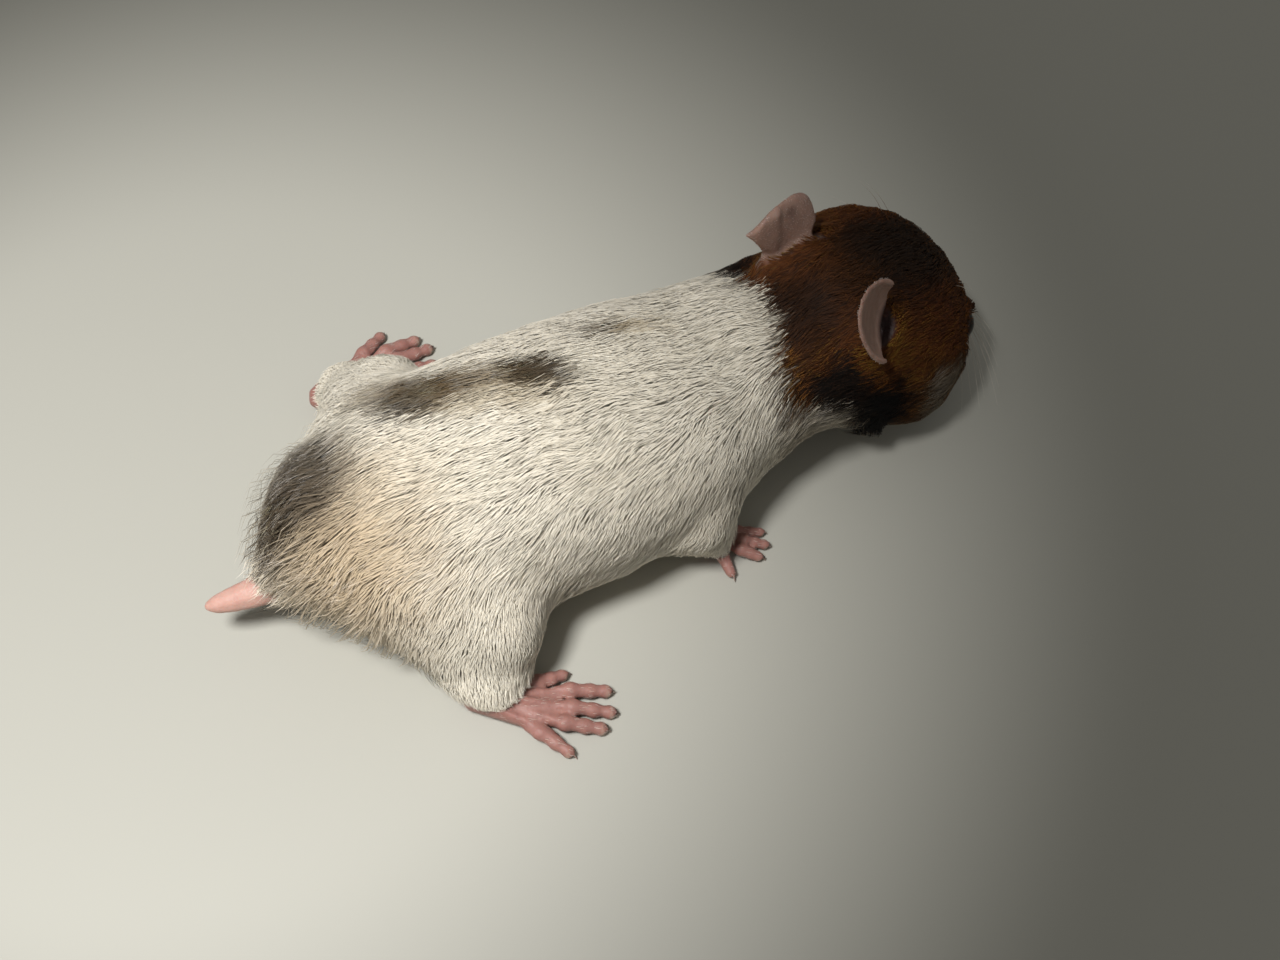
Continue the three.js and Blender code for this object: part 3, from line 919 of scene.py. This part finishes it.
headMarks = [
    ("#6F3A10", (-6.0, 5.5, 3.0), (7.5, 6.0, 4.0), 0, 0.7, 0.75),
    ("#5A280C", (2.0, 6.5, 4.5), (4.5, 3.5, 3.5), 0, 0.7, 0.55),
    ("#150D06", (1.0, 1.0, 7.8), (9.5, 3.6, 3.0), 0, 0.7, 0.72),
    ("#150D06", (-9.2, 0.8, 3.0), (3.2, 3.2, 2.6), 0, 0.6, 0.7),
    ("#180E06", (-1.4, 3.6, 6.6), (2.6, 2.6, 2.6), 0, 0.6, 0.5),
    ("#8E7E68", (3.1, 9.9, -0.6), (1.8, 3.0, 2.5), 0, 0.4, 0.72),
    ("#CDBEA6", (0.0, 0.0, -8.6), (15.0, 9.5, 4.9), 0, 0.3, 0.92),
    ("#CDBEA6", (-8.5, 6.5, -5.4), (5.0, 5.0, 2.9), 0, 0.3, 0.9),
    ("#070504", (-7.0, 6.6, -0.7), (4.6, 3.7, 2.3), 0, 0.35, 0.97),
    ("#040303", (-2.9, 8.4, -2.4), (2.9, 3.2, 2.7), 0, 0.35, 0.99),
    ("#040303", (-1.8, 7.6, -5.2), (1.9, 2.4, 2.8), 0, 0.3, 0.99),
    ("#0D0806", (7.4, 5.8, 2.1), (2.9, 3.0, 3.0), 0, 0.4, 0.85),
    ("#9C8060", (10.4, 4.0, -2.8), (3.4, 3.0, 2.2), 0, 0.6, 0.75),
    ("#D9BFA5", (13.5, 0.0, -3.5), (3.0, 3.0, 2.4), 0, 0.6, 0.7),
]
coatColours = {
    "white": "#F3E8D2",
    "cream": "#DCC7A2",
    "brown": "#40260D",
    "collarAt": 14.4,  # mm, where the brown starts on the back
    "collarSlope": 0.37,
    "collarEdge": 0.9,
    "stray": 4.0,  # mm, how far the marks' edges wander
}
bareColours = {"foot": ("#A87B70", "#82574F"), "ear": ("#AC8B7B", "#85675B"), "tail": ("#C9A496", "#B58578")}


# Lays colours over another, each by its share.
def laidOver(tree, layers, under):
    for share, over in layers:
        under = addNode(tree, "ShaderNodeMix", {0: share, 6: under, 7: over}, data_type="RGBA").outputs[2]
    return under


def markLayers(tree, marks, place):
    layers = []
    for code, middle, reach, turn, soft, strength in marks:
        oval = {"Vector": place, "Location": middle, "Rotation": (0, 0, math.radians(turn)), "Scale": reach}
        inside = addNode(tree, "ShaderNodeMapping", oval, vector_type="TEXTURE")
        away = addNode(tree, "ShaderNodeVectorMath", {0: inside.outputs[0]}, operation="LENGTH")
        edge = {"Value": away.outputs["Value"], "From Min": 1 + soft, "From Max": 1 - soft, "To Max": strength}
        share = addNode(tree, "ShaderNodeMapRange", edge, interpolation_type="SMOOTHSTEP")
        layers.append((share.outputs[0], colour(code)))
    return layers


# The coat's colour at a place in mm, and how far it is in the collar. Skin and tufts both use it.
def coatPattern(tree, inMm):
    noise = addNode(tree, "ShaderNodeTexNoise", {"Vector": inMm, "Scale": 0.45, "Detail": 3})
    centred = addNode(tree, "ShaderNodeVectorMath", {0: noise.outputs["Color"], 1: (0.5, 0.5, 0.5)},
                      operation="SUBTRACT")
    strayed = {0: centred.outputs[0], 1: (coatColours["stray"],) * 3, 2: inMm}
    warped = addNode(tree, "ShaderNodeVectorMath", strayed, operation="MULTIPLY_ADD").outputs[0]
    tone = addNode(tree, "ShaderNodeTexNoise", {"Vector": inMm, "Scale": 0.12, "Detail": 2}).outputs[0]
    creamy = addNode(tree, "ShaderNodeMath", {0: tone, 1: 0.35}, operation="MULTIPLY").outputs[0]
    white = laidOver(tree, [(creamy, colour(coatColours["cream"]))], colour(coatColours["white"]))
    white = laidOver(tree, markLayers(tree, trunkMarks, warped), white)

    # the brown coat starts at a collar, whose edge lies farther forward at the sides
    axes = addNode(tree, "ShaderNodeSeparateXYZ", {0: warped}).outputs
    aside = addNode(tree, "ShaderNodeMath", {0: axes[1], 1: 0.5}, operation="ADD").outputs[0]
    aside = addNode(tree, "ShaderNodeMath", {0: aside}, operation="ABSOLUTE").outputs[0]
    slanted = {0: aside, 1: coatColours["collarSlope"], 2: axes[0]}
    forward = addNode(tree, "ShaderNodeMath", slanted, operation="MULTIPLY_ADD").outputs[0]
    edge = {"Value": forward, "From Min": coatColours["collarAt"] - coatColours["collarEdge"],
            "From Max": coatColours["collarAt"] + coatColours["collarEdge"]}
    collar = addNode(tree, "ShaderNodeMapRange", edge, interpolation_type="SMOOTHSTEP").outputs[0]

    # the head's marks lie on both sides, so the place is mirrored in the head's frame
    headFrame = {"Vector": warped, "Location": headPlace.translation, "Rotation": headPlace.to_euler("XYZ")}
    local = addNode(tree, "ShaderNodeMapping", headFrame, vector_type="TEXTURE").outputs[0]
    axes = addNode(tree, "ShaderNodeSeparateXYZ", {0: local}).outputs
    aside = addNode(tree, "ShaderNodeMath", {0: axes[1]}, operation="ABSOLUTE").outputs[0]
    mirrored = addNode(tree, "ShaderNodeCombineXYZ", {0: axes[0], 1: aside, 2: axes[2]}).outputs[0]
    brown = laidOver(tree, markLayers(tree, headMarks, mirrored), colour(coatColours["brown"]))
    return laidOver(tree, [(collar, brown)], white), collar


def makeCoatMaterial():
    # fine hair: many thin shafts, so the colour changes from hair to hair and its shine is broken and dull
    material, tree, shader = newMaterial("pupHair", {
        "Roughness": 0.7, "Specular IOR Level": 0.2, "Subsurface Weight": 0.35,
        "Subsurface Radius": (1.0, 0.85, 0.7), "Subsurface Scale": 0.3 * mm})
    place = addNode(tree, "ShaderNodeAttribute", attribute_name="shownAt").outputs["Vector"]
    inMm = addNode(tree, "ShaderNodeVectorMath", {0: place, "Scale": 1 / mm}, operation="SCALE").outputs[0]
    hair = attributesOf(tree, "grain", "along", "pale")
    base, collar = coatPattern(tree, inMm)
    # some of the brown coat's hairs are nearly black
    chosen = {"Value": hair["grain"], "From Min": 0.62, "From Max": 0.8, "To Max": 0.55}
    ticked = addNode(tree, "ShaderNodeMapRange", chosen).outputs[0]
    ticked = addNode(tree, "ShaderNodeMath", {0: ticked, 1: collar}, operation="MULTIPLY").outputs[0]
    base = laidOver(tree, [(ticked, colour("#120B06")), (hair["pale"], colour("#D9BCAE"))], base)
    # from hair to hair and towards the tips the coat grows lighter
    value = addNode(tree, "ShaderNodeMath", {0: hair["grain"], 1: 0.14, 2: 0.88}, operation="MULTIPLY_ADD")
    value = addNode(tree, "ShaderNodeMath", {0: hair["along"], 1: 0.08, 2: value.outputs[0]},
                    operation="MULTIPLY_ADD")
    shade = addNode(tree, "ShaderNodeHueSaturation", {"Color": base, "Value": value.outputs[0]})
    tree.links.new(shade.outputs[0], shader.inputs["Base Color"])
    return material


def makeSkinMaterial():
    # thin living skin: pink where it is bare, and the coat's own colours where fur covers it
    material, tree, shader = newMaterial("pupSkin", {
        "Roughness": 0.55, "Subsurface Weight": 0.25, "Subsurface Radius": (1.0, 0.35, 0.2),
        "Subsurface Scale": 0.6 * mm})
    place = addNode(tree, "ShaderNodeTexCoord").outputs["Object"]
    inMm = addNode(tree, "ShaderNodeVectorMath", {0: place, "Scale": 1 / mm}, operation="SCALE").outputs[0]
    area = attributesOf(tree, "bare", "ear", "tail", "canal", "lid")
    mottle = addNode(tree, "ShaderNodeTexNoise", {"Vector": inMm, "Scale": 1.2, "Detail": 4}).outputs[0]
    tones = {name: laidOver(tree, [(mottle, colour(darker))], colour(lighter))
             for name, (lighter, darker) in bareColours.items()}
    # painted shade: the ears' hollows and the left ear's dimple get a dark colour that stands in for the shade
    # inside them
    pink = laidOver(tree, [(area["ear"], tones["ear"]), (area["tail"], tones["tail"]),
                           (area["canal"], colour("#2A0C09"))], tones["foot"])
    base, _ = coatPattern(tree, inMm)
    result = laidOver(tree, [(area["bare"], pink), (area["lid"], colour("#1A0F0B"))], base)
    tree.links.new(result, shader.inputs["Base Color"])
    wrinkles = addNode(tree, "ShaderNodeTexNoise", {"Vector": inMm, "Scale": 4, "Detail": 5}).outputs[0]
    bump = addNode(tree, "ShaderNodeBump", {"Height": wrinkles, "Strength": 0.35, "Distance": 0.15 * mm})
    tree.links.new(bump.outputs[0], shader.inputs["Normal"])
    return material


def makeEyeMaterial():
    # the wet black eye of a young hamster: deep colour under a clear, smooth cornea
    material, tree, shader = newMaterial("eye", {"Roughness": 0.04, "IOR": 1.376})
    place = addNode(tree, "ShaderNodeTexCoord").outputs["Object"]
    inMm = addNode(tree, "ShaderNodeVectorMath", {0: place, "Scale": 1 / mm}, operation="SCALE").outputs[0]
    depth = addNode(tree, "ShaderNodeTexNoise", {"Vector": inMm, "Scale": 0.8, "Detail": 2}).outputs[0]
    base = laidOver(tree, [(depth, colour("#150B08"))], colour("#050303"))
    tree.links.new(base, shader.inputs["Base Color"])
    return material


hairMaterial = makeCoatMaterial()
skinMaterial = makeSkinMaterial()
eyeMaterial = makeEyeMaterial()

points, triangles = meshArrays(skin.data)
points = points / mm
# painted shade in the left ear's dimple, added to the hollows' dark share
dimpleShade = 0.6 * (1 - easing(fromDimple(points), -0.1, 0.45))
areas = {
    "bare": 1 - easing(bareDistance(points), 0.1, 0.6),
    "ear": near(earParts, points, 0.1, 0.7),
    "tail": near(["tail"], points, 0.3, 1.5),
    # the share of painted shade in the ears' hollows and the dimple
    "canal": np.maximum(1 - easing(fromCanal(points), 0.25, 1.0), dimpleShade),
    "lid": (1 - easing(fromSlit(points), 0.3, 0.9)) * (eyeDistance(points) < 2.6),
}
for name, shares in areas.items():
    setFloats(skin.data, name, shares)
skin.data.materials.append(skinMaterial)
skin.data.polygons.foreach_set("use_smooth", np.ones(len(skin.data.polygons), bool))
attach(skin, "root")
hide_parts(*fleshParts)

order = np.argsort(grown[0][:, 0])
for number, chosen in enumerate(np.array_split(order, math.ceil(len(order) / coat["perPiece"]))):
    name = "coat_" + str(number + 1)
    piece = newObject(name, tuftMesh(name, chosen, grown))
    piece.data.materials.append(hairMaterial)
    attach(piece, "root")
printStage("coat")


# eyes

def makeEye(side):
    name = "eye_" + ("left" if side > 0 else "right")
    middle = fromHead(np.array(eyes["at"]) * (1, side, 1))[0] * mm
    radius = eyes["radius"] * mm
    bpy.ops.mesh.primitive_uv_sphere_add(segments=48, ring_count=32, radius=radius, location=middle)
    ball = bpy.context.active_object
    ball.name = name + "_ball"
    ball.data.transform(ball.matrix_world)
    ball.matrix_world = Matrix.Identity(4)
    ball.data.polygons.foreach_set("use_smooth", np.ones(len(ball.data.polygons), bool))
    ball.data.materials.append(eyeMaterial)
    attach(ball, "root")
    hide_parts(name)


makeEye(1)
makeEye(-1)


# claws and whiskers: tapered strands along paths

whisker = {
    "perRow": [5, 6, 6, 4],
    "top": (11.4, 1.5, -0.4),  # the first root of the top row, in the head's frame
    "rowDrop": 0.55,
    "step": 0.5,
    "length": (3.5, 9.0),  # mm, the frontmost and the rearmost
    "radius": 0.035,
    "lowest": 0.3,  # mm above the floor
    "brow": [(4.6, 4.4, 6.2), (5.4, 4.0, 5.9)],
}
claw = {
    "start": 0.94,  # as a share of the toe
    "length": 1.05,  # mm
    "radius": 0.19,
    "tip": 0.012,
    "height": 0.85,
    "drop": 0.75,
}


def makeStrandTree(name):
    tree = bpy.data.node_groups.new(name, "GeometryNodeTree")
    tree.interface.new_socket("Paths", in_out="INPUT", socket_type="NodeSocketGeometry")
    sides = tree.interface.new_socket("Sides", in_out="INPUT", socket_type="NodeSocketInt")
    finish = tree.interface.new_socket("Finish", in_out="INPUT", socket_type="NodeSocketMaterial")
    tree.interface.new_socket("Strands", in_out="OUTPUT", socket_type="NodeSocketGeometry")
    start = tree.nodes.new("NodeGroupInput").outputs
    thickness = addNode(tree, "GeometryNodeInputNamedAttribute", {"Name": "thickness"}, data_type="FLOAT")
    curve = addNode(tree, "GeometryNodeMeshToCurve", {"Mesh": start["Paths"]})
    ring = addNode(tree, "GeometryNodeCurvePrimitiveCircle", {"Resolution": start["Sides"], "Radius": 1.0})
    along = {"Curve": curve.outputs[0], "Profile Curve": ring.outputs[0], "Scale": thickness.outputs[0]}
    strand = addNode(tree, "GeometryNodeCurveToMesh", {**along, "Fill Caps": True})
    smooth = addNode(tree, "GeometryNodeSetShadeSmooth", {"Geometry": strand.outputs[0]})
    real = addNode(tree, "GeometryNodeRealizeInstances", {"Geometry": smooth.outputs[0]})
    finished = {"Geometry": real.outputs[0], "Material": start["Finish"]}
    painted = addNode(tree, "GeometryNodeSetMaterial", finished)
    tree.links.new(painted.outputs[0], tree.nodes.new("NodeGroupOutput").inputs[0])
    return tree, sides.identifier, finish.identifier


strandTree, sidesInput, finishInput = makeStrandTree("strands")


# One piece of closed strands. `paths` are lists of points and `radii` their radii, in mm.
def makeStrands(name, paths, radii, sides, material):
    points = [point for path in paths for point in path]
    starts = np.cumsum([0] + [len(path) for path in paths])
    edges = [(i, i + 1) for a, b in zip(starts, starts[1:]) for i in range(a, b - 1)]
    mesh = bpy.data.meshes.new(name)
    mesh.from_pydata([tuple(np.array(point) * mm) for point in points], edges, [])
    setFloats(mesh, "thickness", np.concatenate(radii) * mm)
    setFloats(mesh, "along", np.concatenate([np.linspace(0, 1, len(path)) for path in paths]))
    piece = newObject(name, mesh)
    modifier = piece.modifiers.new("strands", "NODES")
    modifier.node_group = strandTree
    modifier[sidesInput] = sides
    modifier[finishInput] = material
    evaluated = piece.evaluated_get(bpy.context.evaluated_depsgraph_get())
    made = bpy.data.meshes.new_from_object(evaluated)
    piece.modifiers.clear()
    piece.data = made
    bpy.data.meshes.remove(mesh)
    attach(piece, "root")


def makeClawMaterial():
    # young horn: thin, a little clear, pinkish grey with a darker tip
    material, tree, shader = newMaterial("youngHorn", {
        "Roughness": 0.35, "IOR": 1.54, "Subsurface Weight": 0.2, "Subsurface Radius": (1.0, 0.5, 0.35),
        "Subsurface Scale": 0.3 * mm})
    along = attributesOf(tree, "along")["along"]
    place = addNode(tree, "ShaderNodeTexCoord").outputs["Object"]
    inMm = addNode(tree, "ShaderNodeVectorMath", {0: place, "Scale": 1 / mm}, operation="SCALE").outputs[0]
    streaks = addNode(tree, "ShaderNodeTexNoise", {"Vector": inMm, "Scale": 6, "Detail": 2}).outputs[0]
    faint = addNode(tree, "ShaderNodeMath", {0: streaks, 1: 0.3}, operation="MULTIPLY").outputs[0]
    layers = [(along, colour("#6E544B")), (faint, colour("#E2CFC4"))]
    tree.links.new(laidOver(tree, layers, colour("#B98F84")), shader.inputs["Base Color"])
    return material


def makeWhiskerMaterial():
    # stiff clear hair, smooth enough to catch a thin line of light
    material, tree, shader = newMaterial("whiskerHair", {"Roughness": 0.4, "IOR": 1.54})
    along = attributesOf(tree, "along")["along"]
    base = laidOver(tree, [(along, colour("#E6DDD0"))], colour("#8C7660"))
    tree.links.new(base, shader.inputs["Base Color"])
    return material


def makeClaws(footName, plan, material):
    paths, radii = [], []
    for toe in plan["toes"]:
        reach = math.hypot(toe[2] - toe[0], toe[3] - toe[1])
        size = 0.9 if len(plan["toes"]) == 5 else 0.75
        steps = np.linspace(0, 1, 7)
        shares = claw["start"] + claw["length"] * size * steps / reach
        heights = claw["height"] - claw["drop"] * steps**2
        paths.append([onToe(plan, toe, share, height) for share, height in zip(shares, heights)])
        radii.append(claw["radius"] * size * (1 - steps) ** 0.75 + claw["tip"])
    makeStrands("claws_" + footName, paths, radii, 8, material)


# The nearest place on the skin, from one near it.
def onSkin(place):
    for _ in range(6):
        place = place - outwards(place) * sampled(skinField, gridLow, place, 0)[:, None]
    return place


def makeWhiskers(side, material):
    draw = np.random.default_rng(20 + side)
    starts, ways, lengths = [], [], []
    for row, number in enumerate(whisker["perRow"]):
        for i in range(number):
            back = i / max(number - 1, 1)
            offset = (1.6 - whisker["step"] * i - 0.15 * row, 0.1 * i, -whisker["rowDrop"] * row)
            starts.append(np.array(whisker["top"]) + offset)
            ways.append((0.55 - 0.75 * back, 1, 0.25 - 0.22 * row))
            lengths.append(np.interp(back, (0, 1), whisker["length"]) * draw.uniform(0.85, 1.1))
    for place in whisker["brow"]:
        starts.append(np.array(place))
        ways.append((-0.4, 0.6, 0.8))
        lengths.append(4.5)
    starts = onSkin(fromHead(np.array(starts) * (1, side, 1)))
    ways = unit(np.array(ways) * (1, side, 1)) @ headTurn.T
    paths, radii = [], []
    for start, way, length in zip(starts, ways, lengths):
        steps = np.linspace(0, 1, 14)
        bend = headTurn @ np.array([-0.35, 0.05 * side, 0]) + np.array([0, 0, -0.16])
        path = [start - way * 0.3 + way * length * t + bend * length * t**2 for t in steps]
        paths.append([np.maximum(point, (-100, -100, whisker["lowest"])) for point in path])
        radii.append(whisker["radius"] * (1 - 0.85 * steps))
    makeStrands("whiskers_" + ("left" if side > 0 else "right"), paths, radii, 5, material)


clawMaterial, whiskerMaterial = makeClawMaterial(), makeWhiskerMaterial()
for name, plan in footPlans.items():
    makeClaws(name, plan, clawMaterial)
makeWhiskers(1, whiskerMaterial)
makeWhiskers(-1, whiskerMaterial)
printStage("claws and whiskers")


# floor and light

def makeFloor():
    # painted board: pale, dull and almost even
    material, _, _ = newMaterial("paintedBoard", {"Base Color": colour("#ABA99F"), "Roughness": 0.6})
    bpy.ops.mesh.primitive_plane_add(size=1.2)
    floor = bpy.context.active_object
    floor.name = "floor"
    floor.data.materials.append(material)


# a lamp beyond the rump, whose round pool of light ends softly across the head
lamp = {
    "at": (-80, -38, 182),  # mm
    "aim": (-36, 8, 0),
    "radius": 23,
    "cone": 34.5,  # degrees
    "softness": 0.25,
    "power": 2.05,
}


def makeLamp(name, settings):
    data = bpy.data.lights.new(name, "SPOT")
    data.shadow_soft_size = settings["radius"] * mm
    data.spot_size = math.radians(settings["cone"])
    data.spot_blend = settings["softness"]
    data.energy = settings["power"]
    light = bpy.data.objects.new(name, data)
    light.location = Vector(settings["at"]) * mm
    light.rotation_mode = "QUATERNION"
    light.rotation_quaternion = (Vector(settings["at"]) - Vector(settings["aim"])).to_track_quat("Z", "Y")
    bpy.context.scene.collection.objects.link(light)


makeFloor()
makeLamp("lamp", lamp)
world = bpy.data.worlds.new("room")
world.use_nodes = True
world.node_tree.nodes["Background"].inputs[0].default_value = colour("#F2F2EE")
world.node_tree.nodes["Background"].inputs[1].default_value = 0.27
bpy.context.scene.world = world
bpy.context.scene.view_settings.view_transform = "Standard"
printStage("floor and light")
